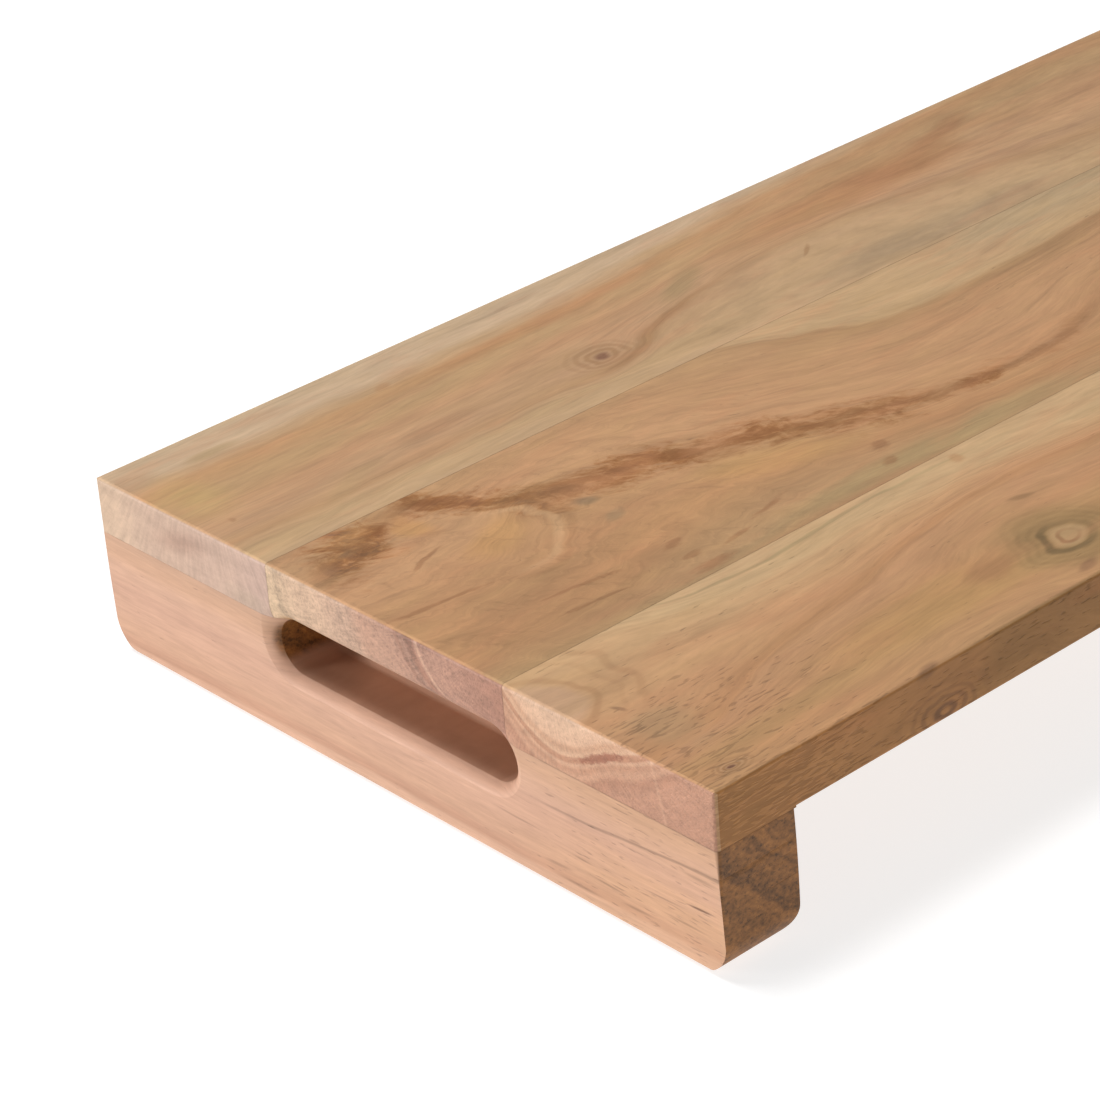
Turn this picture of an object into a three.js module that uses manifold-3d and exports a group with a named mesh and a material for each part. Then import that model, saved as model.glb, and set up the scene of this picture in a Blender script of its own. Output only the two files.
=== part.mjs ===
// Footed serving board: three staves, edge-glued side by side, lie across two end rails.
// The rails' grain runs across the board. Each rail is a foot, and has a blind finger slot
// in its outer face. Hidden dowels pin the outer staves to the rails.
// Millimetres, +X along the board, +Y towards its back edge, +Z up. Z = 0 is the table.

import * as THREE from 'three';
import { mergeVertices } from 'three/addons/utils/BufferGeometryUtils.js';
import Module from 'manifold-3d';

const wasm = await Module();
wasm.setup();

// ---- Driving sizes ----

const BOARD_LENGTH = 508;
const BOARD_WIDTH = 203;
const BOARD_THICKNESS = 14;

const MIDDLE_STAVE_WIDTH = 78;
const MIDDLE_STAVE_SHIFT = -0.3; // its centre line stands this far from the board's own

const RAIL_HEIGHT = 32;
const RAIL_THICKNESS = 22.2;
const RAIL_LEAN = 1.2; // how far the outer face leans in at the foot
const RAIL_NECK = 0.7; // how much thinner the rail is under the board than at its belly
const RAIL_BELLY_RADIUS = 9; // bottom edge that faces the other rail
const RAIL_END_RADIUS = 9; // bottom corners at the long sides
const RAIL_TOE_RADIUS = 2; // bottom edge of the outer face

const SLOT_LENGTH = 79; // of the straight-walled throat, end to end
const SLOT_HEIGHT = 13.9;
const SLOT_RISE = 0.45; // how far the throat's ceiling is cut up into the board
const SLOT_WEB = 5; // wood left behind the slot
const SLOT_MOUTH_RADIUS = 5.8; // round-over all around the mouth
const SLOT_MOUTH_TURN = Math.PI / 3; // the round-over stops here, at a crisp edge around the throat
const SLOT_FLOOR_RADIUS = 2.5; // nose of the cutter

const DOWEL_DIAMETER = 8;
const DOWEL_IN_RAIL = 16;
const DOWEL_IN_BOARD = 8;
const DOWEL_INSET = 31.5; // dowel's centre line from the board's long side

const TOP_EASE = 1; // sanded edges of the top face
const CORNER_EASE = 1.2; // upright corners
const UNDERSIDE_EASE = 0.8; // board's lower long edges, between the rails

// ---- Clearances ----

const GLUE_LINE = 0.04; // between staves, and between the board and a rail
const DOWEL_CLEARANCE = 0.1; // all around a dowel
const DOWEL_END_GAP = 0.5; // past each end of a dowel

// ---- How finely round stretches are cut ----

const ARC_STEPS = 10;
const ROUND_STEPS = 60;
const DOWEL_STEPS = 24;
const OVERRUN = 2; // how far a cutter stands out of the face it enters

// ---- Sizes that follow ----

const BOARD_UNDERSIDE = RAIL_HEIGHT + GLUE_LINE;
const SLOT_DEPTH = RAIL_THICKNESS - SLOT_WEB;
const SLOT_RADIUS = SLOT_HEIGHT / 2;
const SLOT_MOUTH_WIDTH = SLOT_MOUTH_RADIUS * Math.sin(SLOT_MOUTH_TURN);
const SLOT_CENTRE = BOARD_UNDERSIDE + SLOT_RISE - SLOT_RADIUS;
const DOWEL_SPREAD = BOARD_WIDTH / 2 - DOWEL_INSET;

const X_AXIS = new THREE.Vector3(1, 0, 0);
const Y_AXIS = new THREE.Vector3(0, 1, 0);
const Z_AXIS = new THREE.Vector3(0, 0, 1);

// ---- From three.js geometry to a solid, and back ----

function solid(geometry) {
  geometry.deleteAttribute('normal');
  geometry.deleteAttribute('uv');
  const merged = mergeVertices(geometry);
  const corners = merged.index.array;
  const triangles = [];
  for (let i = 0; i < corners.length; i += 3) {
    const [a, b, c] = corners.subarray(i, i + 3);
    const flat = a === b || b === c || c === a;
    if (!flat) triangles.push(a, b, c);
  }
  return new wasm.Manifold(new wasm.Mesh({
    numProp: 3,
    vertProperties: merged.attributes.position.array,
    triVerts: new Uint32Array(triangles),
  }));
}

function geometryOf(body) {
  const mesh = body.getMesh();
  const geometry = new THREE.BufferGeometry();
  geometry.setAttribute('position', new THREE.BufferAttribute(mesh.vertProperties, 3));
  geometry.setIndex(new THREE.BufferAttribute(mesh.triVerts, 1));
  geometry.computeVertexNormals();
  return geometry;
}

// ---- Extrusions along each axis, from outlines drawn in the other two ----

function extrude(shape, length) {
  return new THREE.ExtrudeGeometry(shape, { depth: length, bevelEnabled: false, curveSegments: ARC_STEPS });
}

// Outline in (y, z), centred along X.
function alongX(shape, length) {
  const geometry = extrude(shape, length).translate(0, 0, -length / 2);
  return solid(geometry.applyMatrix4(new THREE.Matrix4().makeBasis(Y_AXIS, Z_AXIS, X_AXIS)));
}

// Outline in (x, z), centred along Y.
function alongY(shape, length) {
  const geometry = extrude(shape, length).translate(0, 0, -length / 2);
  const backwards = Y_AXIS.clone().negate();
  return solid(geometry.applyMatrix4(new THREE.Matrix4().makeBasis(X_AXIS, Z_AXIS, backwards)));
}

// Outline in (x, y), from z = low upwards.
function alongZ(shape, length, low) {
  return solid(extrude(shape, length).translate(0, 0, low));
}

// Rectangle whose upper and lower corners have their own radii.
function roundedOutline(left, right, low, high, lowerRadius, upperRadius) {
  const shape = new THREE.Shape();
  shape.moveTo(left + lowerRadius, low);
  shape.lineTo(right - lowerRadius, low);
  if (lowerRadius > 0) {
    shape.absarc(right - lowerRadius, low + lowerRadius, lowerRadius, -Math.PI / 2, 0);
  }
  shape.lineTo(right, high - upperRadius);
  if (upperRadius > 0) {
    shape.absarc(right - upperRadius, high - upperRadius, upperRadius, 0, Math.PI / 2);
  }
  shape.lineTo(left + upperRadius, high);
  if (upperRadius > 0) {
    shape.absarc(left + upperRadius, high - upperRadius, upperRadius, Math.PI / 2, Math.PI);
  }
  shape.lineTo(left, low + lowerRadius);
  if (lowerRadius > 0) {
    shape.absarc(left + lowerRadius, low + lowerRadius, lowerRadius, Math.PI, 1.5 * Math.PI);
  }
  return shape;
}

// ---- Finger slot: a cutter plunged at both ends and swept between them ----

// The cutter's radius against its depth from the face it enters, from the outside inwards.
function cutterProfile() {
  const mouth = SLOT_RADIUS + SLOT_MOUTH_WIDTH;
  const noseStart = SLOT_DEPTH - SLOT_FLOOR_RADIUS;
  const points = [new THREE.Vector2(mouth, -OVERRUN)];
  for (let step = 0; step <= ARC_STEPS; step += 1) {
    const turn = (step / ARC_STEPS) * SLOT_MOUTH_TURN;
    const radius = mouth - SLOT_MOUTH_RADIUS * Math.sin(turn);
    points.push(new THREE.Vector2(radius, SLOT_MOUTH_RADIUS * (1 - Math.cos(turn))));
  }
  for (let step = 0; step <= ARC_STEPS; step += 1) {
    const turn = (step / ARC_STEPS) * Math.PI / 2;
    const radius = SLOT_RADIUS - SLOT_FLOOR_RADIUS * (1 - Math.cos(turn));
    points.push(new THREE.Vector2(radius, noseStart + SLOT_FLOOR_RADIUS * Math.sin(turn)));
  }
  return points;
}

// In a rail's own frame: the outer face is x = 0, and the slot goes in along +X at z = 0.
function slotCutter() {
  const profile = cutterProfile();
  const sweep = SLOT_LENGTH - SLOT_HEIGHT;
  const onAxis = [new THREE.Vector2(0, -OVERRUN), ...profile, new THREE.Vector2(0, SLOT_DEPTH)];
  const upper = profile.map((point) => new THREE.Vector2(point.y, point.x));
  const lower = upper.map((point) => new THREE.Vector2(point.x, -point.y)).reverse();
  let cutter = alongY(new THREE.Shape([...lower, ...upper]), sweep);
  for (const side of [-1, 1]) {
    const plunge = new THREE.LatheGeometry(onAxis, ROUND_STEPS);
    plunge.applyMatrix4(new THREE.Matrix4().makeBasis(Y_AXIS, X_AXIS, Z_AXIS.clone().negate()));
    plunge.translate(0, side * sweep / 2, 0);
    cutter = cutter.add(solid(plunge));
  }
  return cutter;
}

// ---- Dowels and their holes ----

// Round rod along Z from low to high, at x, y.
function rod(radius, low, high, x, y) {
  const geometry = new THREE.CylinderGeometry(radius, radius, high - low, DOWEL_STEPS);
  geometry.rotateX(Math.PI / 2);
  return solid(geometry.translate(x, y, (low + high) / 2));
}

// Drilled around a dowel at x, y; z = 0 is the seam between the board and the rail.
function dowelHole(x, y) {
  const radius = DOWEL_DIAMETER / 2 + DOWEL_CLEARANCE;
  const low = -DOWEL_IN_RAIL - DOWEL_END_GAP;
  const high = DOWEL_IN_BOARD + DOWEL_END_GAP;
  return rod(radius, low, high, x, y);
}

// ---- Rail, in its own frame: outer face at x = 0, foot at z = 0 ----

function railProfile() {
  const belly = RAIL_THICKNESS - RAIL_BELLY_RADIUS;
  const bellyTop = (RAIL_BELLY_RADIUS + RAIL_HEIGHT) / 2;
  const lean = Math.atan2(RAIL_LEAN, RAIL_HEIGHT);
  // The toe's arc touches the foot and the leaning face.
  const toeCentre = RAIL_LEAN + RAIL_TOE_RADIUS * Math.tan((Math.PI / 2 - lean) / 2);
  const shape = new THREE.Shape();
  shape.moveTo(toeCentre, 0);
  shape.lineTo(belly, 0);
  shape.absarc(belly, RAIL_BELLY_RADIUS, RAIL_BELLY_RADIUS, -Math.PI / 2, 0);
  shape.quadraticCurveTo(RAIL_THICKNESS, bellyTop, RAIL_THICKNESS - RAIL_NECK, RAIL_HEIGHT);
  shape.lineTo(0, RAIL_HEIGHT);
  shape.absarc(toeCentre, RAIL_TOE_RADIUS, RAIL_TOE_RADIUS, Math.PI + lean, 1.5 * Math.PI);
  return shape;
}

function rail() {
  const half = BOARD_WIDTH / 2;
  const endView = roundedOutline(-half, half, 0, RAIL_HEIGHT, RAIL_END_RADIUS, 0);
  let body = alongY(railProfile(), BOARD_WIDTH);
  body = body.intersect(alongX(endView, 2 * RAIL_THICKNESS + OVERRUN));
  body = body.intersect(planOutline().translate([BOARD_LENGTH / 2, 0, 0]));
  body = body.subtract(slotCutter().translate([0, 0, SLOT_CENTRE]));
  for (const side of [-1, 1]) {
    const hole = dowelHole(RAIL_THICKNESS / 2, side * DOWEL_SPREAD);
    body = body.subtract(hole.translate([0, 0, RAIL_HEIGHT]));
  }
  return body;
}

// ---- Board, in its own frame: underside at z = 0, centred in X and Y ----

// The whole object seen from above, with eased upright corners.
function planOutline() {
  const halfLength = BOARD_LENGTH / 2;
  const half = BOARD_WIDTH / 2;
  const outline = roundedOutline(-halfLength, halfLength, -half, half, CORNER_EASE, CORNER_EASE);
  const height = BOARD_UNDERSIDE + BOARD_THICKNESS;
  return alongZ(outline, 2 * height, -height);
}

// What is rounded off one lower long edge, between the rails; side is -1 or 1.
function undersideEase(side) {
  const edge = BOARD_WIDTH / 2;
  const centre = edge - UNDERSIDE_EASE;
  const shape = new THREE.Shape();
  shape.moveTo(centre, -OVERRUN);
  shape.lineTo(edge + OVERRUN, -OVERRUN);
  shape.lineTo(edge + OVERRUN, UNDERSIDE_EASE);
  shape.lineTo(edge, UNDERSIDE_EASE);
  shape.absarc(centre, UNDERSIDE_EASE, UNDERSIDE_EASE, 0, -Math.PI / 2, true);
  const strip = alongX(shape, BOARD_LENGTH - 2 * RAIL_THICKNESS);
  return side > 0 ? strip : strip.rotate([0, 0, 180]);
}

function boardBlank() {
  const halfLength = BOARD_LENGTH / 2;
  const half = BOARD_WIDTH / 2;
  const endView = roundedOutline(-half, half, 0, BOARD_THICKNESS, 0, TOP_EASE);
  const sideView = roundedOutline(-halfLength, halfLength, 0, BOARD_THICKNESS, 0, TOP_EASE);
  const block = alongX(endView, BOARD_LENGTH).intersect(alongY(sideView, BOARD_WIDTH));
  return block.intersect(planOutline()).subtract(undersideEase(-1)).subtract(undersideEase(1));
}

// The part of the board between y = front and y = back.
function stave(front, back) {
  const width = back - front;
  const slab = new THREE.BoxGeometry(2 * BOARD_LENGTH, width, 4 * BOARD_THICKNESS);
  let body = boardBlank().intersect(solid(slab.translate(0, front + width / 2, 0)));
  for (const end of [0, 180]) {
    const slot = slotCutter().translate([-BOARD_LENGTH / 2, 0, SLOT_CENTRE - BOARD_UNDERSIDE]);
    body = body.subtract(slot.rotate([0, 0, end]));
    for (const side of [-1, 1]) {
      const hole = dowelHole(RAIL_THICKNESS / 2 - BOARD_LENGTH / 2, side * DOWEL_SPREAD);
      body = body.subtract(hole.rotate([0, 0, end]));
    }
  }
  return body;
}

// ---- Naming, colouring and placing ----

const wood = (color, roughness) => new THREE.MeshStandardMaterial({ color, roughness, metalness: 0 });

function piece(name, body, material, x, z) {
  const mesh = new THREE.Mesh(geometryOf(body), material);
  mesh.name = name;
  mesh.position.set(x, 0, z);
  return mesh;
}

const tray = new THREE.Group();

const middleFront = MIDDLE_STAVE_SHIFT - MIDDLE_STAVE_WIDTH / 2;
const middleBack = MIDDLE_STAVE_SHIFT + MIDDLE_STAVE_WIDTH / 2;
const staves = [
  ['front_stave', -BOARD_WIDTH, middleFront - GLUE_LINE / 2, 0xbf9066],
  ['middle_stave', middleFront + GLUE_LINE / 2, middleBack - GLUE_LINE / 2, 0xb98a62],
  ['back_stave', middleBack + GLUE_LINE / 2, BOARD_WIDTH, 0xc49a70],
];
for (const [name, front, back, color] of staves) {
  tray.add(piece(name, stave(front, back), wood(color, 0.5), 0, BOARD_UNDERSIDE));
}

for (const [end, turn] of [['left', 0], ['right', Math.PI]]) {
  const foot = new THREE.Group();
  foot.rotation.z = turn;
  foot.add(piece(`${end}_rail`, rail(), wood(0xdeaf90, 0.55), -BOARD_LENGTH / 2, 0));
  for (const [side, y] of [['front', -DOWEL_SPREAD], ['back', DOWEL_SPREAD]]) {
    const across = turn === 0 ? y : -y;
    const peg = rod(DOWEL_DIAMETER / 2, -DOWEL_IN_RAIL, DOWEL_IN_BOARD, RAIL_THICKNESS / 2, across);
    const dowel = piece(`${end}_${side}_dowel`, peg, wood(0xd9bc8e, 0.7), -BOARD_LENGTH / 2, RAIL_HEIGHT);
    foot.add(dowel);
  }
  tray.add(foot);
}

export default tray;
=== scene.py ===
import math
import bmesh
import bpy
from mathutils import Matrix, Vector


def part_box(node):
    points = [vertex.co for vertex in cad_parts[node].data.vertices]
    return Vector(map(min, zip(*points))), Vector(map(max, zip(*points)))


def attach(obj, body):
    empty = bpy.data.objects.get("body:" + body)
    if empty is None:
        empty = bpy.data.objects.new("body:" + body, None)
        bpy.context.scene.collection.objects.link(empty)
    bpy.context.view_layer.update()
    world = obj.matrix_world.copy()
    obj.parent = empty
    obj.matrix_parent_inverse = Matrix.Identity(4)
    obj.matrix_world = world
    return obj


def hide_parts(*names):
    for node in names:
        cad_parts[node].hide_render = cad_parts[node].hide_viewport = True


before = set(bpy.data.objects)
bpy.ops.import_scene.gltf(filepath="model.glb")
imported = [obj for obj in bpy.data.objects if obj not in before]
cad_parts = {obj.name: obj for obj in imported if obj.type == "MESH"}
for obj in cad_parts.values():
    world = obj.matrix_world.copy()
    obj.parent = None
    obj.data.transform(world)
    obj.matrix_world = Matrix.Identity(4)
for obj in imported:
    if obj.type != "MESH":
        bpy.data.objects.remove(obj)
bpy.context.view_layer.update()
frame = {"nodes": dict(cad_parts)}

MM = 0.001


def corners(node):
    """A CAD node's lowest and highest corners in mm, to a hundredth."""
    return [[round(part / MM, 2) for part in corner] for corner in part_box(node)]


# Sizes in mm, from the frame. Distances along the board are from its near end.
MIDDLE_LOW, MIDDLE_HIGH = corners("middle_stave")
BOARD_LENGTH = MIDDLE_HIGH[0] - MIDDLE_LOW[0]
HALF_LENGTH = BOARD_LENGTH / 2
TOP = MIDDLE_HIGH[2]
BOARD_UNDERSIDE = MIDDLE_LOW[2]
FRONT_SEAM = round((corners("front_stave")[1][1] + MIDDLE_LOW[1]) / 2, 2)
BACK_SEAM = round((MIDDLE_HIGH[1] + corners("back_stave")[0][1]) / 2, 2)

# A guide line's heights run from minus this to this.
CURVE_REACH = 120.0

# Sockets of a Mix node that is set to colours.
MIX_AMOUNT = 0
MIX_FIRST = 6
MIX_SECOND = 7
MIX_COLOUR = 2

WELD_DISTANCE = 0.002 * MM
SHARP_EDGE = math.radians(20)


def tone(red, green, blue):
    """A colour as it looks on a screen, 0 to 255, as the shader wants it."""
    def linear(part):
        part = part / 255
        return part / 12.92 if part <= 0.04045 else ((part + 0.055) / 1.055) ** 2.4
    return (linear(red), linear(green), linear(blue), 1.0)


# ---------------------------------------------------------------- writing wood as arithmetic


class Field:
    """A number that varies through the wood. Sums on fields make the shader's maths nodes."""

    def __init__(self, tree, socket):
        self.tree = tree
        self.socket = socket

    def join(self, operation, *others):
        node = self.tree.nodes.new("ShaderNodeMath")
        node.operation = operation
        for slot, item in zip(node.inputs, (self,) + others):
            feed(self.tree, slot, item)
        return Field(self.tree, node.outputs[0])

    def __add__(self, other):
        return self.join("ADD", other)

    def __sub__(self, other):
        return self.join("SUBTRACT", other)

    def __mul__(self, other):
        return self.join("MULTIPLY", other)

    def __truediv__(self, other):
        return self.join("DIVIDE", other)

    def __neg__(self):
        return self.join("MULTIPLY", -1.0)

    def size(self):
        return self.join("ABSOLUTE")

    def least(self, other):
        return self.join("MINIMUM", other)

    def most(self, other):
        return self.join("MAXIMUM", other)

    def root(self):
        return self.join("SQRT")

    def angle(self, other):
        return self.join("ARCTAN2", other)


def feed(tree, slot, item):
    """Gives a socket a field, another socket, or a plain value."""
    if isinstance(item, Field):
        tree.links.new(item.socket, slot)
    elif isinstance(item, bpy.types.NodeSocket):
        tree.links.new(item, slot)
    else:
        slot.default_value = item


class Wood:
    """One wood material. x is the distance from the near end, y across to the back, z up, in mm."""

    def __init__(self, name):
        self.material = bpy.data.materials.new(name)
        self.material.use_nodes = True
        self.tree = self.material.node_tree
        self.shader = self.tree.nodes["Principled BSDF"]
        texture = self.node("ShaderNodeTexCoord")
        place = self.vector("MULTIPLY", texture.outputs["Object"], (1000, 1000, 1000))
        self.place = self.vector("ADD", place, (HALF_LENGTH, 0, 0))
        self.x, self.y, self.z = self.split(self.place)
        self.nx, self.ny, self.nz = self.split(texture.outputs["Normal"])

    def node(self, kind):
        return self.tree.nodes.new(kind)

    def vector(self, operation, first, second):
        node = self.node("ShaderNodeVectorMath")
        node.operation = operation
        feed(self.tree, node.inputs[0], first)
        feed(self.tree, node.inputs[1], second)
        return node.outputs[0]

    def split(self, socket):
        node = self.node("ShaderNodeSeparateXYZ")
        feed(self.tree, node.inputs[0], socket)
        return [Field(self.tree, out) for out in node.outputs]

    def join(self, x, y, z):
        node = self.node("ShaderNodeCombineXYZ")
        for slot, item in zip(node.inputs, (x, y, z)):
            feed(self.tree, slot, item)
        return node.outputs[0]

    def noise(self, place, grain, seed, detail=2.0, rough=0.5, curl=0.0):
        """Cloudy variation, roughly from -1 to 1. grain is a cloud's size along x, y and z."""
        mapping = self.node("ShaderNodeMapping")
        feed(self.tree, mapping.inputs["Vector"], place)
        mapping.inputs["Location"].default_value = (seed * 7.31, seed * 3.17, seed * 5.73)
        mapping.inputs["Scale"].default_value = [1 / size for size in grain]
        texture = self.node("ShaderNodeTexNoise")
        feed(self.tree, texture.inputs["Vector"], mapping.outputs[0])
        texture.inputs["Scale"].default_value = 1.0
        texture.inputs["Detail"].default_value = detail
        texture.inputs["Roughness"].default_value = rough
        texture.inputs["Distortion"].default_value = curl
        return (Field(self.tree, texture.outputs[0]) - 0.5) * 4.0

    def smooth(self, field, start, end):
        """0 before start and 1 past end, with a soft step between. start may be the larger."""
        node = self.node("ShaderNodeMapRange")
        node.interpolation_type = "SMOOTHSTEP"
        feed(self.tree, node.inputs["Value"], field)
        node.inputs["From Min"].default_value = start
        node.inputs["From Max"].default_value = end
        return Field(self.tree, node.outputs[0])

    def share(self, field):
        """The field held between 0 and 1."""
        return field.most(0.0).least(1.0)

    def line(self, along, points, length=BOARD_LENGTH):
        """The height of a smooth line through points, at each place along it."""
        node = self.node("ShaderNodeFloatCurve")
        feed(self.tree, node.inputs["Value"], along / length)
        curve = node.mapping.curves[0]
        while len(curve.points) > 2:
            curve.points.remove(curve.points[1])
        for index, (far, high) in enumerate(points):
            spot = (far / length, (high + CURVE_REACH) / (2 * CURVE_REACH))
            if index == 0:
                curve.points[0].location = spot
            elif index == len(points) - 1:
                curve.points[len(curve.points) - 1].location = spot
            else:
                curve.points.new(*spot)
        node.mapping.extend = "HORIZONTAL"
        node.mapping.update()
        return Field(self.tree, node.outputs[0]) * (2 * CURVE_REACH) - CURVE_REACH

    def away(self, place, centre, reach, tilt=0.0):
        """The distance from a centre, counted in half lengths and half widths of an oval."""
        mapping = self.node("ShaderNodeMapping")
        mapping.vector_type = "TEXTURE"
        feed(self.tree, mapping.inputs["Vector"], place)
        mapping.inputs["Location"].default_value = (centre[0], centre[1], 0)
        mapping.inputs["Rotation"].default_value = (0, 0, math.radians(tilt))
        mapping.inputs["Scale"].default_value = (reach[0], reach[1], 1)
        node = self.node("ShaderNodeVectorMath")
        node.operation = "LENGTH"
        feed(self.tree, node.inputs[0], mapping.outputs[0])
        return Field(self.tree, node.outputs["Value"])

    def oval(self, place, centre, reach, tilt=0.0, soft=0.7):
        """1 inside a soft oval and 0 outside it. reach is its half length and half width."""
        return self.smooth(self.away(place, centre, reach, tilt), 1.0, 1.0 - soft)

    def outline(self, away, radius, width):
        """1 on a thin soft ring round a centre and 0 off it."""
        return self.smooth((away - radius).size(), width, width * 0.2)

    def mix(self, first, second, amount):
        """The first colour turning to the second as amount goes from 0 to 1."""
        node = self.node("ShaderNodeMix")
        node.data_type = "RGBA"
        feed(self.tree, node.inputs[MIX_AMOUNT], amount)
        feed(self.tree, node.inputs[MIX_FIRST], first)
        feed(self.tree, node.inputs[MIX_SECOND], second)
        return node.outputs[MIX_COLOUR]

    def bands(self, field, stops):
        """Colours laid side by side along a field. stops are (value, colour), lowest first."""
        low, high = stops[0][0], stops[-1][0]
        scale = self.node("ShaderNodeMapRange")
        feed(self.tree, scale.inputs["Value"], field)
        scale.inputs["From Min"].default_value = low
        scale.inputs["From Max"].default_value = high
        node = self.node("ShaderNodeValToRGB")
        node.color_ramp.interpolation = "EASE"
        feed(self.tree, node.inputs[0], scale.outputs[0])
        ramp = node.color_ramp.elements
        ramp[0].color = stops[0][1]
        ramp[1].color = stops[-1][1]
        for value, colour in stops[1:-1]:
            ramp.new((value - low) / (high - low)).color = colour
        return node.outputs[0]

    def tint(self, colour, share):
        """The colour with each of its parts cut to a share of itself."""
        node = self.node("ShaderNodeMix")
        node.data_type = "RGBA"
        node.blend_type = "MULTIPLY"
        node.inputs[MIX_AMOUNT].default_value = 1.0
        feed(self.tree, node.inputs[MIX_FIRST], colour)
        node.inputs[MIX_SECOND].default_value = (*share, 1.0)
        return node.outputs[MIX_COLOUR]

    def shade(self, colour, light):
        """The colour made lighter or darker: light is 1 where it stays as it is."""
        node = self.node("ShaderNodeHueSaturation")
        feed(self.tree, node.inputs["Value"], light)
        feed(self.tree, node.inputs["Color"], colour)
        return node.outputs[0]

    def finish(self, colour, height, roughness):
        """Oiled wood: the colour, a roughness that varies, and a relief given in mm."""
        feed(self.tree, self.shader.inputs["Base Color"], colour)
        feed(self.tree, self.shader.inputs["Roughness"], roughness)
        self.shader.inputs["Specular IOR Level"].default_value = 0.35
        bump = self.node("ShaderNodeBump")
        bump.inputs["Strength"].default_value = 0.8
        bump.inputs["Distance"].default_value = MM
        feed(self.tree, bump.inputs["Height"], height)
        feed(self.tree, self.shader.inputs["Normal"], bump.outputs[0])
        return self.material


def straighten(wood, along, across, guides):
    """How far across the grain a point is, between lines that the grain follows.
    guides are (value, points along the board), from the lowest line up."""
    lines = [wood.line(along, points) for _, points in guides]
    total = (across - lines[0]).least(0.0) + guides[0][0]
    for index in range(len(guides) - 1):
        low, high = lines[index], lines[index + 1]
        step = guides[index + 1][0] - guides[index][0]
        total = total + wood.share((across - low) / (high - low)) * step
    return total + (across - lines[-1]).most(0.0)


def wander(wood, seed, shear):
    """The place after the grain's own bending, so that no band or line is ruled."""
    slow = wood.noise(wood.place, (75, 24, 24), seed, 3.0)
    quick = wood.noise(wood.place, (16, 5, 5), seed + 1, 3.0)
    slide = wood.noise(wood.place, (30, 12, 12), seed + 2, 2.0)
    across = wood.y + (wood.z - TOP) * shear + slow * 1.6 + quick * 0.6
    along = wood.x + slide * 3.0
    return along, across


def grain(wood, along, across, seed, strength=1.0):
    """How light each point of long grain is: bands, growth lines, mottle and fibres."""
    flow = wood.join(along, across, wood.z)
    bands = wood.noise(flow, (190, 5.0, 40), seed, 3.0)
    rings = wood.noise(flow, (90, 1.9, 24), seed + 3, 3.0, 0.6)
    lines = wood.smooth(rings, 0.1, 0.9)
    mottle = wood.noise(flow, (20, 4.5, 9), seed + 4, 4.0, 0.6, 0.3)
    fibres = wood.noise(flow, (11, 0.9, 2.5), seed + 5, 3.0, 0.7)
    light = bands * (0.08 * strength) + mottle * (0.10 * strength) + fibres * 0.11 + 1.035
    return light - lines * (0.10 * strength)


def pore_noise(wood, along, across, seed, size=(4.2, 0.75, 0.75)):
    """The noise whose peaks become open pores, drawn out along the grain."""
    return wood.noise(wood.join(along, across, wood.z), size, seed, 1.0)


def end_grain(wood, colour, heart, squash, seed, strength):
    """A cut end: rings round the heart of the tree, rays out of it, and pores."""
    dy = (wood.y - heart[0]) * squash
    dz = wood.z - heart[1]
    warp = wood.noise(wood.place, (40, 11, 7), seed, 4.0)
    radius = (dy * dy + dz * dz).root() + warp * 1.6
    turn = dz.angle(dy)
    rings = wood.noise(wood.join(radius, 0.0, 0.0), (3.0, 1, 1), seed + 1, 4.0, 0.7)
    rays = wood.noise(wood.join(turn, radius, 0.0), (0.012, 7, 1), seed + 2, 2.0)
    dots = wood.noise(wood.place, (5, 1.0, 1.0), seed + 3, 2.0, 0.6)
    patch = wood.noise(wood.place, (9, 3.0, 1.6), seed + 5, 4.0, 0.7)
    cloud = wood.noise(wood.place, (40, 12, 8), seed + 4, 3.0)
    light = rings * (0.26 * strength) + rays * 0.12 + cloud * 0.08 + dots * (0.22 * strength) + 1.08
    light = light + patch * (0.18 * strength) - wood.smooth(rings, 0.1, 0.7) * (0.2 * strength)
    light = light - wood.smooth(dots, 0.3, 0.8) * (0.36 * strength)
    return wood.shade(colour, light)


# ---------------------------------------------------------------- the three staves

GREY_SAP = tone(193, 166, 136)
TAN = tone(188, 152, 115)
ORANGE = tone(178, 131, 91)
BROWN = tone(152, 113, 76)
DARK = tone(118, 88, 66)
OLIVE = tone(164, 138, 100)
YELLOW = tone(192, 160, 108)

BACK_GUIDES = [
    (42, [(0, 42), (60, 45), (100, 44), (130, 43), (160, 41.5), (200, 40), (300, 38), (508, 44)]),
    (50, [(0, 51), (50, 50), (100, 49), (118, 48), (126, 50), (136, 56), (150, 61), (170, 66),
          (200, 68), (230, 65), (260, 61), (300, 54), (380, 50), (508, 54)]),
    (64, [(0, 62), (60, 63), (100, 64), (118, 66), (136, 68), (150, 70), (170, 75), (200, 74),
          (240, 72), (300, 66), (380, 62), (508, 66)]),
    (74, [(0, 69), (50, 71), (100, 74), (150, 76), (200, 81), (240, 82), (300, 84), (508, 78)]),
    (85, [(0, 86), (60, 85), (100, 85.5), (140, 87), (200, 92), (250, 97), (300, 101),
          (400, 99), (508, 94)]),
]

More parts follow.
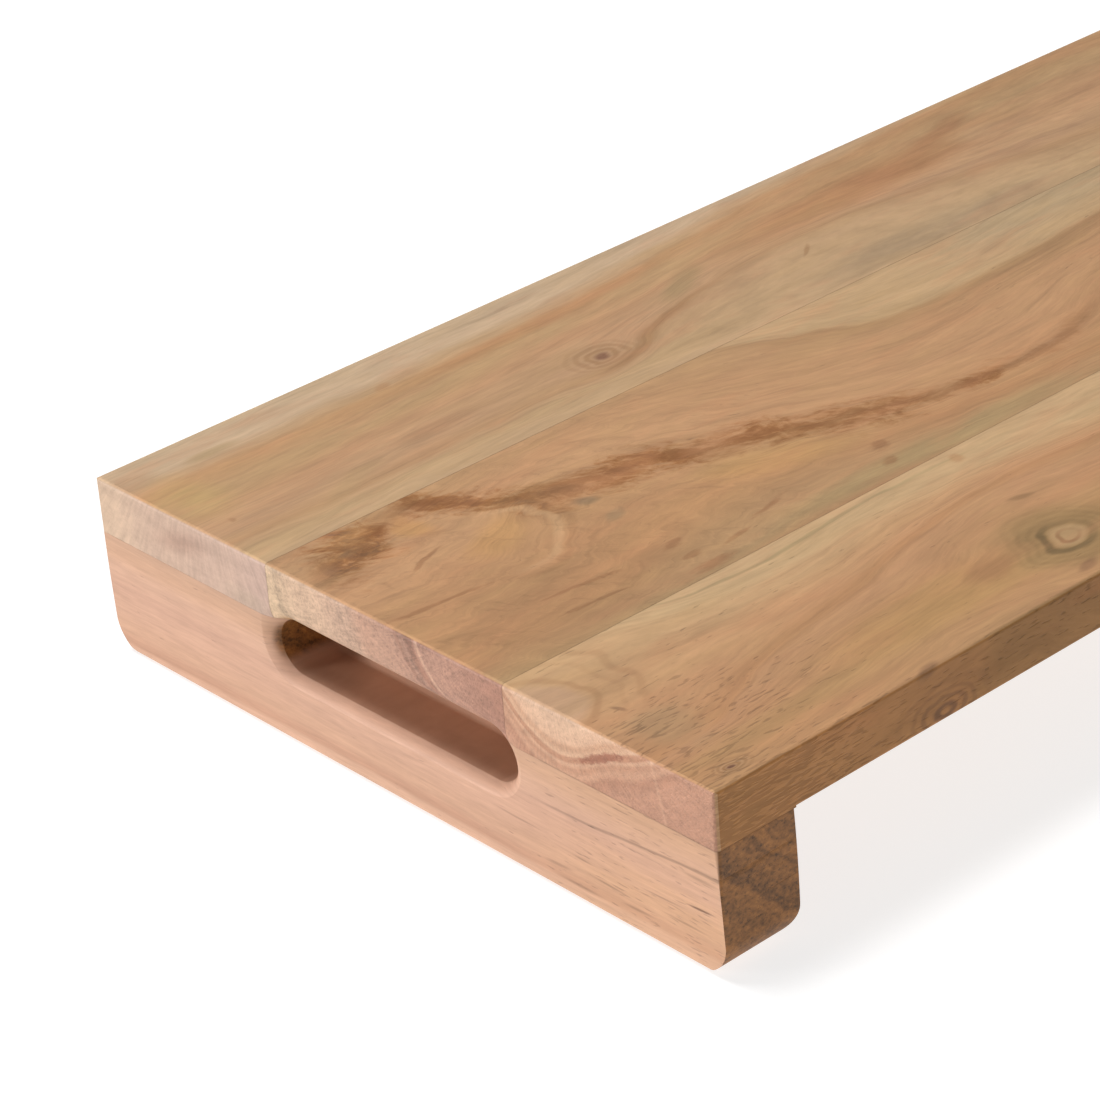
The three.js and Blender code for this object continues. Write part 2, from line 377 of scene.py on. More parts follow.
MIDDLE_GUIDES = [
    (-34, [(0, -37), (60, -36), (90, -33), (130, -34), (190, -38), (300, -42), (400, -38), (508, -36)]),
    (-22, [(0, -26), (30, -26), (48, -24), (60, -18), (85, -14), (110, -17), (140, -25),
           (170, -29), (230, -30), (300, -26), (508, -28)]),
    (0, [(0, 2), (20, 0), (40, 4), (60, 16), (78, 13), (100, 5), (125, -6), (160, -19),
         (200, -21), (230, -10), (300, -6), (400, -12), (508, -14)]),
    (20, [(0, 20), (40, 26), (60, 30), (90, 30), (120, 22), (150, 8), (180, 4), (220, 8),
          (300, 12), (508, 4)]),
    (35, [(0, 34), (60, 42), (100, 42), (140, 36), (160, 26), (180, 19), (210, 17), (255, 20),
          (320, 24), (400, 16), (508, 14)]),
]

FRONT_GUIDES = [
    (-96, [(0, -99), (14, -99.5), (50, -96), (95, -94), (110, -98), (123, -100), (136, -98),
           (150, -95), (220, -97), (508, -95)]),
    (-82, [(0, -88), (30, -86), (60, -82), (95, -79), (110, -74), (123, -72), (136, -74),
           (160, -80), (220, -84), (360, -78), (508, -82)]),
    (-66, [(0, -84), (15, -82.5), (30, -77.5), (45, -72.5), (62, -69), (76, -67), (90, -64),
           (110, -60), (130, -58), (170, -60), (250, -67), (350, -63), (508, -68)]),
    (-50, [(0, -34), (20, -38), (30, -41), (40, -45), (50, -48.5), (60, -50), (80, -51),
           (100, -49.5), (120, -49), (150, -50.5), (170, -52), (260, -56), (350, -49), (508, -52)]),
]


def knot(wood, colour, place, centre, reach, seed, tilt=0.0, strength=1.0):
    """A knot: a dark heart with uneven rings round it that fade out into the stave."""
    warp = wood.noise(wood.place, (9, 6, 6), seed, 2.0)
    away = wood.away(place, centre, reach, tilt) + warp * 0.06
    fade = wood.smooth(away, 1.0, 0.3)
    colour = wood.mix(colour, tone(176, 140, 106), fade * (0.6 * strength))
    for radius, depth in ((0.36, 0.55), (0.62, 0.4), (0.88, 0.2)):
        colour = wood.mix(colour, BROWN, wood.outline(away, radius, 0.12) * (depth * strength))
    heart = wood.smooth(away, 0.30, 0.10)
    return wood.mix(colour, tone(132, 94, 72), heart * strength)


def back_stave():
    """Straight grained and tan, with a pale rim of sapwood, a knot and an orange-brown flame."""
    wood = Wood("back_stave_oiled_wood")
    along, across = wander(wood, 3, 0.5)
    v = straighten(wood, along, across, BACK_GUIDES)
    plan = wood.join(along, across, 0.0)
    flow = wood.join(along, v, 0.0)
    colour = wood.bands(v, [
        (38, tone(190, 158, 122)), (45, tone(188, 156, 117)), (48.5, tone(188, 152, 115)),
        (50.5, tone(181, 143, 106)),
        (57, tone(186, 148, 113)), (64, tone(190, 151, 114)), (70, tone(186, 145, 108)),
        (77, tone(185, 150, 110)), (83, tone(184, 143, 103)), (86, tone(188, 154, 118)),
        (91, GREY_SAP), (102, tone(196, 170, 139))])
    colour = wood.mix(colour, tone(190, 158, 122), wood.oval(flow, (215, 44), (100, 9)) * 0.7)
    colour = wood.mix(colour, tone(172, 146, 115), wood.oval(plan, (225, 45), (55, 9)) * 0.75)
    colour = wood.mix(colour, BROWN, wood.oval(flow, (138, 51.5), (38, 2.6)) * 0.55)
    colour = wood.mix(colour, OLIVE, wood.oval(plan, (162, 72), (15, 5), 25) * 0.7)
    colour = wood.mix(colour, ORANGE, wood.oval(plan, (232, 79), (78, 12), 3, 0.8) * 0.85)
    colour = wood.mix(colour, tone(164, 118, 82), wood.oval(plan, (245, 79), (24, 5), -6) * 0.7)
    colour = wood.mix(colour, tone(164, 118, 82), wood.oval(plan, (272, 87), (22, 4), 14) * 0.6)
    colour = wood.mix(colour, TAN, wood.oval(plan, (282, 77), (18, 7), -12) * 0.7)
    colour = wood.mix(colour, ORANGE, wood.oval(plan, (120, 83), (60, 3.5), 3) * 0.5)
    colour = wood.mix(colour, YELLOW, wood.oval(plan, (9, 76), (12, 18), 0, 1.0) * 0.75)
    colour = wood.mix(colour, OLIVE, wood.oval(plan, (27, 90.5), (11, 2.6)) * 0.6)
    colour = wood.mix(colour, tone(170, 134, 102), wood.oval(plan, (4, 92), (10, 5)) * 0.5)
    colour = wood.mix(colour, tone(170, 132, 98), wood.oval(plan, (70, 59.5), (20, 4)) * 0.6)
    colour = wood.mix(colour, tone(168, 130, 96), wood.oval(plan, (52, 69.5), (9, 1.6)) * 0.5)
    colour = wood.mix(colour, OLIVE, wood.oval(plan, (38, 54), (14, 4), 20) * 0.35)
    colour = wood.mix(colour, ORANGE, wood.oval(plan, (73, 85.5), (3, 2.4)) * 0.5)
    colour = wood.mix(colour, BROWN, wood.oval(plan, (195, 61), (4.5, 0.9), 47) * 0.6)
    colour = wood.mix(colour, BROWN, wood.oval(plan, (7.5, 60.5), (1.4, 1.4)) * 0.5)
    colour = wood.mix(colour, ORANGE, wood.oval(plan, (400, 62), (90, 10), -4) * 0.6)
    colour = knot(wood, colour, plan, (118.5, 57), (11, 8), 21)
    light = grain(wood, along, v, 31)
    pores = pore_noise(wood, along, v, 38)
    return stave_finish(wood, colour, light, pores, back_end(wood), 41, (1.0, 0.98, 0.96), -0.35)


def back_end(wood):
    """The back stave's cut end: pale and greyish, with one soft darker oval."""
    plan = wood.join(wood.y, wood.z, 0.0)
    colour = wood.bands(wood.y, [(38, tone(172, 143, 128)), (56, tone(173, 144, 126)),
                                 (78, tone(174, 145, 125)), (102, tone(181, 153, 128))])
    colour = wood.mix(colour, tone(150, 116, 98), wood.oval(plan, (70, 40), (15, 4.5), -14, 1.0) * 0.6)
    colour = wood.mix(colour, tone(158, 138, 116), wood.oval(plan, (46, 34), (14, 4), 0, 1.0) * 0.4)
    return end_grain(wood, colour, (62, 82), 0.5, 141, 0.4)


def middle_stave():
    """Curly and pinkish, with a ragged dark mineral streak and a pale lens of sapwood."""
    wood = Wood("middle_stave_oiled_wood")
    along, across = wander(wood, 5, 0.6)
    v = straighten(wood, along, across, MIDDLE_GUIDES)
    plan = wood.join(along, across, 0.0)
    colour = wood.bands(v, [
        (-42, tone(172, 134, 100)), (-36, tone(172, 142, 106)), (-31, tone(178, 142, 106)),
        (-22, tone(186, 143, 104)), (-10, tone(188, 146, 108)), (0, tone(184, 142, 106)),
        (12, tone(190, 149, 113)), (24, tone(186, 146, 110)), (38, tone(184, 148, 112))])
    colour = wood.mix(colour, tone(172, 132, 96), wood.oval(plan, (20, -20), (60, 26)) * 0.6)
    colour = wood.mix(colour, tone(196, 148, 96), wood.oval(plan, (33, 27), (6, 10)) * 0.6)
    colour = wood.mix(colour, tone(192, 148, 98), wood.oval(plan, (42, 8), (14, 9), 30) * 0.6)
    colour = wood.mix(colour, tone(192, 152, 100), wood.oval(plan, (108, -12), (26, 9), -20) * 0.5)
    colour = streak(wood, colour, along, across)
    colour = lens(wood, colour, along, across)
    colour = wood.mix(colour, tone(170, 146, 108), wood.oval(plan, (138, -35), (62, 5.5)) * 0.75)
    colour = wood.mix(colour, tone(124, 112, 92), wood.oval(plan, (66, 5.5), (4, 3)) * 0.5)
    colour = wood.mix(colour, tone(140, 128, 102), wood.oval(plan, (66, -4), (4, 3)) * 0.4)
    colour = scratches(wood, colour, plan)
    feather = wood.smooth(along, 150.0, 70.0)
    curl = wood.noise(wood.join(along + v * 0.9, v, wood.z), (11, 16, 12), 57, 3.0, 0.6, 0.8)
    curled = v + curl * feather * 1.8
    light = grain(wood, along, curled, 51, 1.05)
    pores = pore_noise(wood, along, curled, 58)
    dabs = wood.noise(wood.join(along + across * 0.9, across, wood.z), (3.2, 9, 8), 59, 4.0, 0.65, 0.6)
    light = light + curl * feather * 0.11 - wood.smooth(dabs, 0.2, 0.9) * feather * 0.14
    return stave_finish(wood, colour, light, pores, middle_end(wood), 61, (1.0, 0.95, 0.87), -0.1)


def scratches(wood, colour, plan):
    """Short dark lines and spots along the middle stave, and the pale arc of its curl."""
    jag = wood.noise(wood.place, (5, 1.6, 3), 77, 3.0, 0.7)
    for centre, reach, tilt in (
            ((13, -4.4), (14, 1.0), -8), ((38, -20.4), (13, 0.9), -11), ((64, -36), (7, 2.2), 0),
            ((65.5, -23), (3.6, 1.6), 10), ((64, -29.4), (3.4, 1.4), 0), ((36, -28), (10, 0.8), -6),
            ((76, -31), (6, 0.9), 6), ((92, -27), (9, 1.0), 8), ((24, 12), (8, 0.9), 24),
            ((128, -26), (3.6, 2.6), 20), ((124, -33), (2.8, 2.0), 20)):
        away = wood.away(plan, centre, reach, tilt) + jag * 0.35
        colour = wood.mix(colour, tone(146, 104, 72), wood.smooth(away, 1.1, 0.4) * 0.6)
    warp = wood.noise(wood.place, (16, 12, 12), 79, 2.0)
    curl = wood.away(plan, (40, 5), (16, 13), 20) + warp * 0.07
    right = wood.smooth(wood.x - wood.y * 0.5, 34.0, 46.0)
    colour = wood.mix(colour, tone(204, 166, 128), wood.outline(curl, 1.0, 0.13) * right * 0.55)
    return wood.mix(colour, tone(156, 116, 82), wood.outline(curl, 1.2, 0.09) * right * 0.4)


def middle_end(wood):
    """The middle stave's cut end: pale by the back seam, then pink-brown rings to the front one."""
    plan = wood.join(wood.y, wood.z, 0.0)
    colour = wood.bands(wood.y + (wood.z - TOP) * -0.35, [
        (-39, tone(152, 108, 88)), (-12, tone(160, 120, 100)), (6, tone(164, 126, 104)),
        (14, tone(176, 143, 120)), (28, tone(180, 149, 123)), (42, tone(186, 158, 128))])
    colour = wood.mix(colour, tone(126, 84, 68), wood.oval(plan, (-12, 45.6), (16, 1.6), 0, 1.0) * 0.6)
    arc = wood.line(wood.z, [(30, -26), (36, -19), (40, -15), (45, -12), (47, -11.5)], 60.0)
    beside = wood.y - arc
    colour = wood.mix(colour, tone(132, 88, 68), wood.outline(beside, 2.4, 2.2) * 0.55)
    colour = wood.mix(colour, tone(136, 94, 74), wood.outline(beside, 6.5, 1.2) * 0.4)
    colour = wood.mix(colour, tone(192, 154, 128), wood.outline(beside, 0.0, 0.8) * 0.45)
    return end_grain(wood, colour, (-38, 56), 1.0, 161, 1.15)


def streak(wood, colour, along, across):
    """The mineral streak: a dark stain that runs down the stave and breaks up as it goes."""
    centre = wood.line(along, [
        (0, 22), (12, 27), (24, 31), (34, 35), (42, 34), (50, 24), (60, 15), (70, 12), (80, 11),
        (92, 8.5), (102, 3), (113, 0), (125, -7), (136, -12), (148, -16), (160, -20), (180, -22),
        (192, -23), (205, -18), (220, -13), (300, -4), (508, -10)])
    width = wood.line(along, [
        (0, 10), (20, 14), (33, 8), (44, 11), (56, 12), (70, 9), (90, 9), (115, 10), (145, 10),
        (158, 5), (170, 5.5), (200, 4), (230, 4), (508, 5)])
    strength = wood.line(along, [
        (0, 0), (8, 70), (16, 115), (25, 115), (31, 30), (38, 60), (48, 115), (60, 75), (68, 60), (78, 95),
        (92, 100), (103, 50), (114, 90), (130, 65), (150, 62), (158, 35), (168, 85), (178, 30),
        (200, 25), (225, 0), (508, 0)]) / 100.0
    place = wood.join(along + across * 0.8, across, wood.z)
    ragged = wood.noise(place, (6, 7, 9), 71, 5.0, 0.7, 0.8)
    fine = wood.noise(place, (2.6, 1.7, 4), 73, 3.0, 0.7)
    inside = (across - centre).size() / width * -1.0 + 1.0
    stain = wood.smooth(inside + ragged * 0.55 + fine * 0.25, 0.05, 0.8) * strength
    colour = wood.mix(colour, tone(159, 111, 68), wood.share(stain))
    blotch = wood.smooth(inside * 1.1 + ragged * 0.7 + fine * 0.34, 0.5, 1.2) * strength
    cool = wood.noise(place, (14, 12, 10), 75, 2.0)
    near = wood.smooth(along, 78.0, 52.0)
    dark = wood.mix(tone(134, 88, 50), tone(126, 97, 76), wood.share(cool + 0.3) * near)
    return wood.mix(colour, dark, wood.share(blotch * 0.9))


def lens(wood, colour, along, across):
    """The pale sapwood lens that opens out of the back seam, with a brown shade under it."""
    edge = wood.line(along, [
        (0, 70), (125, 46), (141, 38), (150, 31.5), (160, 27), (170, 22.5), (180, 19), (200, 17),
        (230, 18), (260, 20), (320, 26), (400, 42), (508, 60)])
    inside = across - edge
    shade = wood.smooth(inside, -9.0, -1.0) * wood.smooth(inside, 1.5, -1.0)
    colour = wood.mix(colour, tone(164, 130, 94), shade * wood.smooth(along, 135.0, 155.0) * 0.55)
    colour = wood.mix(colour, tone(194, 164, 128), wood.smooth(inside, -1.2, 2.4))
    grey = wood.smooth(along, 195.0, 235.0) * wood.smooth(inside, 3.0, 12.0)
    return wood.mix(colour, tone(184, 161, 130), grey * 0.8)


def front_stave():
    """A fan of thin arcs under a wedge of sapwood, with a large eye of a knot by the front edge."""
    wood = Wood("front_stave_oiled_wood")
    along, across = wander(wood, 7, 0.7)
    v = straighten(wood, along, across, FRONT_GUIDES)
    plan = wood.join(along, across, 0.0)
    flow = wood.join(along, v, 0.0)
    colour = wood.bands(v, [
        (-104, tone(182, 142, 104)), (-96, tone(184, 144, 104)), (-88, tone(180, 142, 100)),
        (-80, tone(184, 142, 104)), (-70, tone(190, 147, 110)), (-66, tone(182, 138, 100)),
        (-62, tone(193, 150, 112)), (-57, tone(196, 156, 117)), (-52, tone(198, 163, 124)),
        (-47, tone(200, 170, 131)), (-38, tone(198, 167, 129))])
    colour = wood.mix(colour, tone(180, 142, 94), wood.oval(plan, (85, -84), (45, 12)) * 0.6)
    colour = wood.mix(colour, tone(160, 120, 84), wood.oval(plan, (101, -83), (10, 6)) * 0.65)
    colour = wood.mix(colour, tone(170, 144, 110), wood.oval(plan, (11, -76), (9, 15), 10) * 0.35)
    colour = wood.mix(colour, tone(186, 140, 102), wood.oval(plan, (20, -97), (60, 8)) * 0.5)
    colour = wood.mix(colour, tone(168, 150, 112), wood.oval(flow, (90, -43), (70, 1.0)) * 0.6)
    colour = wood.mix(colour, ORANGE, wood.oval(plan, (136, -43), (2.6, 2.6)) * 0.5)
    colour = lobe(wood, colour, plan)
    colour = eye(wood, colour, plan)
    colour = side_swirl(wood, colour)
    colour = knot(wood, colour, plan, (10.5, -96.5), (5.5, 3.6), 27, 0, 1.5)
    for centre, reach in (((8, -64), (1.2, 2.4)), ((62, -101), (5, 2)), ((117, -98), (5, 2))):
        colour = wood.mix(colour, DARK, wood.oval(plan, centre, reach, 20) * 0.55)
    light = grain(wood, along, v, 81)
    pores = pore_noise(wood, along, across, 89, (3.8, 0.7, 0.7))
    arcs = wood.smooth(wood.noise(wood.join(along, v, 0.0), (130, 1.15, 1), 87, 1.0), 0.2, 0.9)
    light = light - arcs * wood.smooth(v, -70.0, -60.0) * wood.smooth(v, -49.0, -52.0) * 0.07
    corner = wood.smooth(along, 70.0, 15.0) * wood.smooth(across, -56.0, -72.0)
    side = wood.smooth(wood.y, -100.0, -101.3)
    porous = corner * 0.72 + side * 0.5 + wood.smooth(along, 190.0, 40.0) * 0.15 - 0.1
    # Painted light: the front side is painted lighter towards the near end, easing its painted side shade
    # there.
    light = light + side * wood.smooth(along, 70.0, 25.0) * 0.12
    return stave_finish(wood, colour, light, pores, front_end(wood), 91, (1.0, 0.95, 0.89), porous)


def front_end(wood):
    """The front stave's cut end: a pale lobe under the top face, ringed by brown arcs."""
    plan = wood.join(wood.y, wood.z, 0.0)
    warp = wood.noise(wood.place, (20, 7, 4), 95, 3.0)
    arc = wood.line(-wood.y, [(36, 48), (42, 42), (48, 37.5), (55, 35.5), (62, 37), (70, 41),
                              (80, 45), (90, 51), (102, 60)], 110.0)
    above = wood.z - arc + warp * 0.35
    colour = wood.bands(above, [
        (-16, tone(166, 122, 98)), (-9, tone(170, 125, 100)), (-6, tone(162, 117, 92)),
        (-4, tone(176, 133, 106)), (-2.4, tone(168, 124, 97)), (-1.2, tone(182, 141, 113)),
        (-0.5, tone(166, 120, 92)), (0.4, tone(168, 123, 95)), (1.1, tone(188, 149, 120)),
        (2.6, tone(180, 139, 110)), (4.2, tone(193, 155, 127)), (8, tone(195, 159, 131))])
    jag = wood.noise(wood.place, (3, 1.6, 0.9), 96, 3.0, 0.7)
    scar = wood.away(plan, (-69, 40.4), (9, 1.3), -26) + jag * 0.5
    colour = wood.mix(colour, tone(136, 82, 60), wood.smooth(scar, 1.1, 0.5) * 0.75)
    ray = wood.smooth((wood.y + 85 - (wood.z - 40) * 0.25).size(), 0.7, 0.1)
    colour = wood.mix(colour, tone(190, 150, 122), ray * 0.3)
    return end_grain(wood, colour, (-52, 58), 0.7, 191, 0.7)


def lobe(wood, colour, plan):
    """Where the rings run out through the near end: a pale lobe inside thin brown rings."""
    warp = wood.noise(wood.place, (20, 14, 12), 99, 2.0)
    away = wood.away(plan, (-4, -52), (1, 0.9)) + warp * 0.5
    colour = wood.mix(colour, tone(200, 164, 134), wood.smooth(away, 13.0, 9.0) * 0.8)
    upper = wood.smooth(wood.y, -72.0, -62.0)
    for radius, width, strength in ((13.2, 1.6, 0.28), (19.5, 1.2, 0.12), (24.5, 1.9, 0.24)):
        colour = wood.mix(colour, tone(152, 110, 76), wood.outline(away, radius, width) * upper * strength)
    return colour


def eye(wood, colour, plan):
    """The large knot: a pale middle, a dark crescent on one side, and olive rings round it."""
    warp = wood.noise(wood.place, (18, 18, 14), 29, 1.0)
    away = wood.away(plan, (123, -85), (1, 0.9)) + warp * 0.3
    fade = wood.smooth(away, 19.0, 9.0)
    colour = wood.mix(colour, tone(154, 126, 86), fade * 0.8)
    for radius, width, strength in ((9.0, 0.9, 0.16), (11.6, 1.2, 0.2), (14.2, 1.0, 0.1)):
        colour = wood.mix(colour, tone(124, 98, 66), wood.outline(away, radius, width) * strength)
    left = wood.smooth(wood.x + wood.y * 0.4, 95.0, 86.0)
    colour = wood.mix(colour, tone(98, 82, 54), wood.outline(away, 6.2, 1.6) * (left * 0.45 + 0.22))
    colour = wood.mix(colour, tone(184, 152, 112), wood.smooth(away, 5.4, 3.6) * 0.85)
    colour = wood.mix(colour, tone(150, 112, 78), wood.outline(away, 2.6, 0.9) * left * 0.8)
    arc = wood.oval(plan, (131, -67), (4.5, 1.2), -8)
    return wood.mix(colour, tone(140, 108, 76), arc * 0.6)


def side_swirl(wood, colour):
    """The front edge of the board: a small swirling knot, and olive-brown wood beyond it."""
    warp = wood.noise(wood.place, (9, 8, 5), 97, 3.0)
    plan = wood.join(wood.x, wood.z, 0.0)
    away = wood.away(plan, (66, 34.2), (2.1, 1.1)) + warp * 0.7
    side = wood.smooth(wood.y, -100.3, -101.3)
    colour = wood.mix(colour, tone(150, 122, 80), wood.smooth(wood.x + warp * 6.0, 70.0, 86.0) * side * 0.55)
    for radius, width, strength in ((1.2, 0.9, 0.7), (3.0, 0.6, 0.4), (4.6, 0.6, 0.24), (6.6, 0.7, 0.12)):
        colour = wood.mix(colour, tone(96, 66, 40), wood.outline(away, radius, width) * side * strength)
    return colour


def stave_finish(wood, colour, light, pores, end, seed, cast, porous=0.0):
    """Pores, the drift of pink and yellow, painted shade on the long sides, painted darkening towards the
    far end, the cut ends, the seams, and the oil.
    """
    cloud = wood.noise(wood.place, (45, 22, 22), seed + 9, 3.0)
    warm = wood.noise(wood.place, (34, 8, 9), seed + 10, 4.0, 0.6, 0.3)
    open_pores = wood.smooth(pores + cloud * 0.3 + porous, 0.85, 1.4)
    # Painted shade: the staves are painted darker towards the far end, where less light reaches.
    light = light - open_pores * 0.26 - wood.smooth(wood.x, 150.0, 330.0) * 0.08
    colour = wood.mix(colour, tone(196, 142, 106), wood.share(warm * 0.4))
    colour = wood.mix(colour, tone(184, 150, 106), wood.share(warm * -0.35))
    face = wood.shade(wood.tint(colour, cast), light)
    # Painted shade: the long sides of the staves are tinted darker and browner, standing in for the shade on
    # faces turned from the light.
    painted_side_shade = wood.smooth(wood.ny.size(), 0.6, 0.9) * wood.smooth(wood.nx.size(), 0.3, 0.1)
    face = wood.mix(face, wood.tint(face, (0.745, 0.585, 0.315)), painted_side_shade)
    is_end = wood.smooth(wood.nx.size(), 0.55, 0.85)
    colour = wood.mix(face, end, is_end)
    seam = (wood.y - FRONT_SEAM).size().least((wood.y - BACK_SEAM).size())
    rail_seam = (wood.z - BOARD_UNDERSIDE).size() + wood.smooth(wood.y, -50.0, -40.0) * 9.0
    seam = seam.least(rail_seam)
    colour = wood.shade(colour, wood.smooth(seam, 0.0, 0.3) * 0.2 + 0.8)
    height = light * 0.05 - open_pores * 0.05
    roughness = light * -0.3 + cloud * 0.03 + 0.86
    return wood.finish(colour, height, roughness)


# ---------------------------------------------------------------- rails and dowels


def rail_lines(wood, up):
    """The thin dark growth lines that show towards the front end of a rail."""
    long_line = wood.line(-wood.y, [(0, 20.5), (40, 20.8), (60, 21.2), (80, 22.3), (95, 23.5),
                                    (102, 23.6)], 110.0)
    ink = wood.outline(up - long_line, 0.0, 0.55) * wood.smooth(wood.y, -34.0, -62.0)
    face = wood.join(wood.y, up, 0.0)
    for centre, reach, tilt in (
            ((-96, 21.9), (8, 0.55), 0), ((-52, 6.6), (6, 0.6), -2), ((-68, 7.6), (8, 0.5), 2),
            ((-58, 4.1), (10, 0.6), 0), ((-76, 5.2), (6, 0.5), 0), ((-60, 11), (4, 0.5), 2),
            ((-84, 12.2), (9, 0.4), -2), ((-90, 8.4), (9, 0.45), 1), ((-40, 13), (9, 0.35), 1)):
        ink = ink.most(wood.oval(face, centre, reach, tilt, 0.8) * 0.8)
    return ink


def rail_wood():
    """Pinkish wood with long soft bands, its grain across the tray; darker on the cut feet."""
    wood = Wood("rail_oiled_wood")
    slow = wood.noise(wood.place, (20, 80, 12), 101, 3.0)
    up = wood.z + slow * 1.0 + wood.y * 0.01
    colour = wood.bands(up, [
        (0, tone(194, 153, 126)), (3, tone(192, 150, 124)), (4.4, tone(176, 132, 106)),
        (8, tone(186, 144, 117)), (14, tone(188, 146, 121)), (19, tone(187, 145, 121)),
        (24, tone(189, 148, 123)), (29, tone(184, 143, 115)), (33, tone(180, 141, 114))])
    place = wood.join(wood.y, up, wood.x)
    tint = wood.noise(place, (120, 9, 20), 103, 3.0)
    front = wood.smooth(wood.y, -30.0, -75.0)
    colour = wood.mix(colour, tone(192, 146, 104), wood.share((tint * 0.3 + 0.3) * front))
    light = grain(wood, wood.y, up, 111, 0.7)
    pores = pore_noise(wood, wood.y, up, 118)
    open_pores = wood.smooth(pores + front * 0.4, 0.85, 1.3)
    light = light - open_pores * 0.26 - rail_lines(wood, up) * 0.34
    seam = (wood.z - BOARD_UNDERSIDE).size() + wood.smooth(wood.y, -50.0, -40.0) * 9.0
    light = light - wood.smooth(seam, 0.35, 0.0) * 0.25
    crack = wood.oval(wood.join(wood.y, wood.z, 0.0), (-95, 15.2), (5.2, 0.45), -4, 0.7)
    crack = crack * wood.smooth(wood.x, 6.0, 2.0)
    colour = wood.mix(wood.shade(colour, light), tone(104, 68, 44), crack * 0.8)
    slant = wood.z + wood.x * 0.9
    warp = wood.noise(wood.place, (8, 8, 8), 121, 3.0)
    rings = wood.noise(wood.join(slant + warp * 1.6, 0.0, 0.0), (3.4, 1, 1), 123, 3.0, 0.65)
    dots = wood.noise(wood.place, (0.9, 4, 0.9), 125, 2.0, 0.6)
    specks = wood.noise(wood.place, (1.6, 4, 1.0), 127, 3.0, 0.7)
    end_light = rings * 0.55 - wood.smooth(dots, 0.2, 0.8) * 0.5 + specks * 0.55 + 1.1
    end = wood.shade(tone(131, 86, 42), end_light.most(0.4))
    colour = wood.mix(colour, end, wood.smooth(wood.ny.size(), 0.55, 0.85))
    height = light * 0.05 - open_pores * 0.05 - crack * 0.2
    return wood.finish(colour, height, light * -0.3 + 0.86)


def dowel_wood():
    """Plain pale hardwood with its grain upright."""
    wood = Wood("dowel_hardwood")
    place = wood.join(wood.z, wood.x, wood.y)
    fibres = wood.noise(place, (18, 0.6, 0.6), 131, 3.0)
    rings = wood.noise(place, (60, 2.2, 2.2), 133, 2.0)
    light = fibres * 0.05 + rings * 0.06 + 1.0
    colour = wood.mix(tone(206, 174, 132), tone(184, 146, 104), wood.share(rings * 0.4 + 0.3))
    return wood.finish(wood.shade(colour, light), light * 0.05, light * -0.2 + 0.85)


# ---------------------------------------------------------------- pieces


def refined(frame, node, material):
    """A welded, smoothly shaded piece in the place of a CAD node."""
    mesh = frame["nodes"][node].data.copy()
    form = bmesh.new()
    form.from_mesh(mesh)
    bmesh.ops.remove_doubles(form, verts=form.verts, dist=WELD_DISTANCE)
    for face in form.faces:
        face.smooth = True
    for edge in form.edges:
        edge.smooth = edge.is_manifold and edge.calc_face_angle() < SHARP_EDGE
    form.to_mesh(mesh)
    form.free()
    mesh.materials.clear()
    mesh.materials.append(material)
    piece = bpy.data.objects.new(node + "_oiled", mesh)
    bpy.context.scene.collection.objects.link(piece)
    normals = piece.modifiers.new("even_shading", "WEIGHTED_NORMAL")
    normals.keep_sharp = True
    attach(piece, "root")
    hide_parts(node)


def make_pieces(frame):
    rail = rail_wood()
    dowel = dowel_wood()
    refined(frame, "back_stave", back_stave())
    refined(frame, "middle_stave", middle_stave())
    refined(frame, "front_stave", front_stave())
    for side in ("left", "right"):
        refined(frame, side + "_rail", rail)
        for row in ("front", "back"):
            refined(frame, side + "_" + row + "_dowel", dowel)


# ---------------------------------------------------------------- studio


def make_camera():
    """A long lens on the near end, from the front left and above."""
    data = bpy.data.cameras.new("camera")
    data.sensor_width = 36
    data.lens = 123.12
    data.clip_start = 0.01
    camera = bpy.data.objects.new("camera", data)
    bpy.context.scene.collection.objects.link(camera)
    place = Vector((-0.6771, -0.5529, 0.4424))
    yaw, pitch, roll = 0.8636, 0.5026, -0.0753
    ahead = Vector((math.cos(pitch) * math.cos(yaw), math.cos(pitch) * math.sin(yaw), -math.sin(pitch)))
    right = ahead.cross(Vector((0, 0, 1))).normalized()
    up = right.cross(ahead)
    tilted_right = right * math.cos(roll) + up * math.sin(roll)
    tilted_up = up * math.cos(roll) - right * math.sin(roll)
    stand = Matrix((tilted_right, tilted_up, -ahead)).transposed().to_4x4()
    stand.translation = place
    camera.matrix_world = stand
    bpy.context.scene.camera = camera


def soft_light(name, place, aim, width, power):
    """A square soft box at a place, turned towards a point."""
    data = bpy.data.lights.new(name, "AREA")
    data.shape = "SQUARE"
    data.size = width
    data.energy = power
    light = bpy.data.objects.new(name, data)
    light.location = place
    light.rotation_euler = (Vector(aim) - Vector(place)).to_track_quat("-Z", "Y").to_euler()
    bpy.context.scene.collection.objects.link(light)


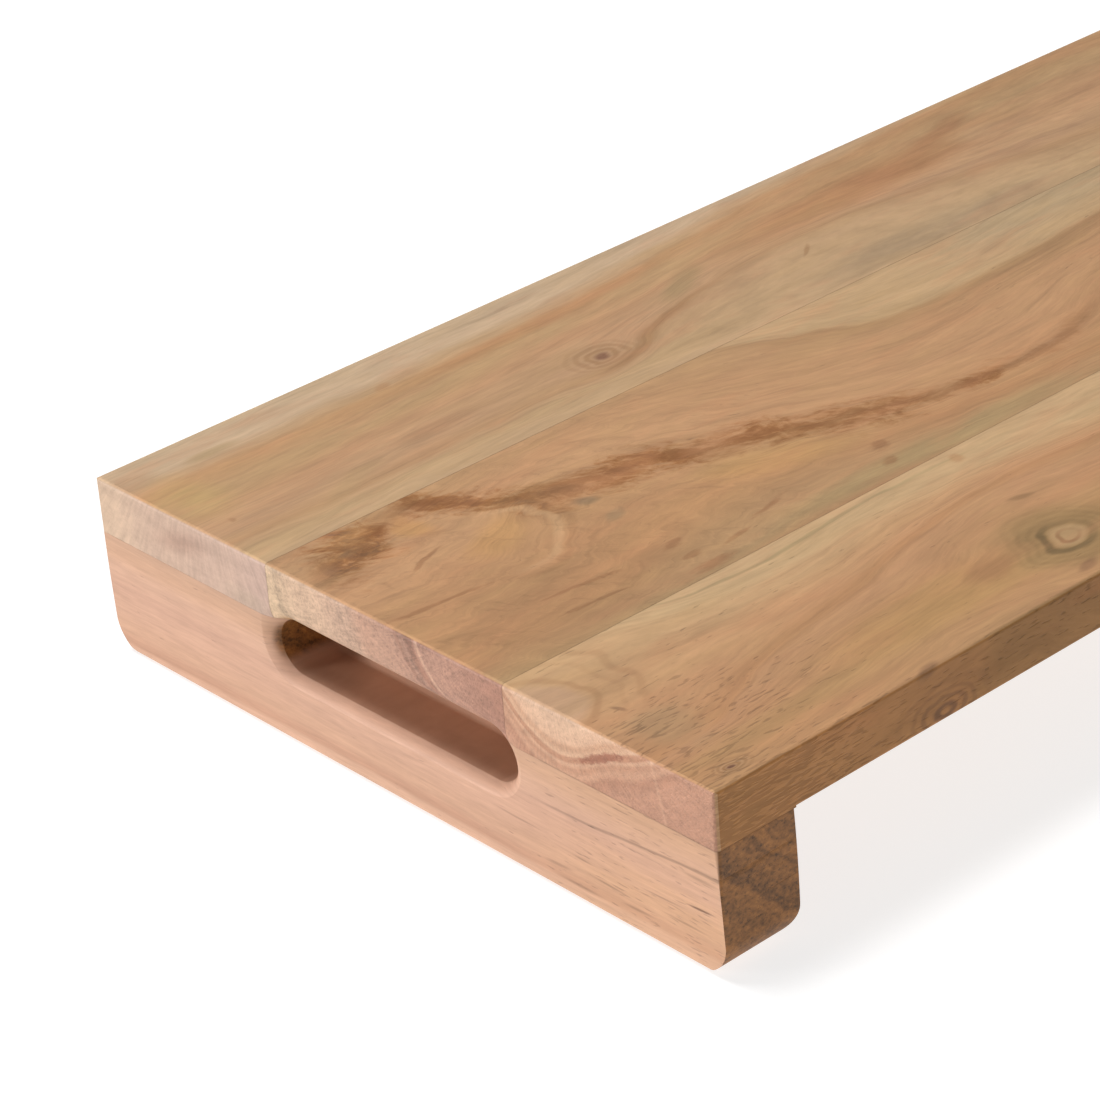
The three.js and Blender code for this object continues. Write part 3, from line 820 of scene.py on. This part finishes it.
def make_floor():
    """A wide sheet of pale paper, a hair below the feet. It glows a little, as lit paper does."""
    half = 60  # metres, so that its edge is lost against the pale horizon
    edge = [(-half, -half, 0), (half, -half, 0), (half, half, 0), (-half, half, 0)]
    floor_mesh = bpy.data.meshes.new("floor")
    floor_mesh.from_pydata(edge, [], [(0, 1, 2, 3)])
    floor = bpy.data.objects.new("floor", floor_mesh)
    floor.location = (0, 0, -0.02 * MM)
    bpy.context.scene.collection.objects.link(floor)
    paper = bpy.data.materials.new("white_paper")
    paper.use_nodes = True
    sockets = paper.node_tree.nodes["Principled BSDF"].inputs
    sockets["Base Color"].default_value = (0.36, 0.36, 0.36, 1)
    sockets["Roughness"].default_value = 0.9
    sockets["Emission Color"].default_value = (1, 1, 1, 1)
    sockets["Emission Strength"].default_value = 0.76
    floor_mesh.materials.append(paper)


def make_world():
    """White all round: bright at the horizon, to meet the floor, and dimmer overhead."""
    world = bpy.data.worlds.new("studio")
    world.use_nodes = True
    nodes = world.node_tree.nodes
    background = nodes["Background"]
    background.inputs["Color"].default_value = (1, 1, 1, 1)
    height = nodes.new("ShaderNodeSeparateXYZ")
    feed(world.node_tree, height.inputs[0], nodes.new("ShaderNodeTexCoord").outputs["Generated"])
    sky = nodes.new("ShaderNodeMapRange")
    sky.interpolation_type = "SMOOTHSTEP"
    feed(world.node_tree, sky.inputs["Value"], height.outputs["Z"])
    sky.inputs["From Min"].default_value = 0.02
    sky.inputs["From Max"].default_value = 0.22
    sky.inputs["To Min"].default_value = 0.84
    sky.inputs["To Max"].default_value = 0.22
    feed(world.node_tree, background.inputs["Strength"], sky.outputs[0])
    bpy.context.scene.world = world


def make_lights():
    """A large soft box overhead, and a smaller one low down past the near end, towards the back."""
    soft_light("overhead", place=(-0.55, 0.7, 2.6), aim=(-0.1, 0, 0.03), width=0.9, power=55.5)
    soft_light("front_card", place=(-2.05, 1.4, 0.25), aim=(-0.25, 0, 0.03), width=0.5, power=37)


make_camera()
make_floor()
make_world()
make_lights()
bpy.context.scene.view_settings.view_transform = "Standard"
make_pieces(frame)
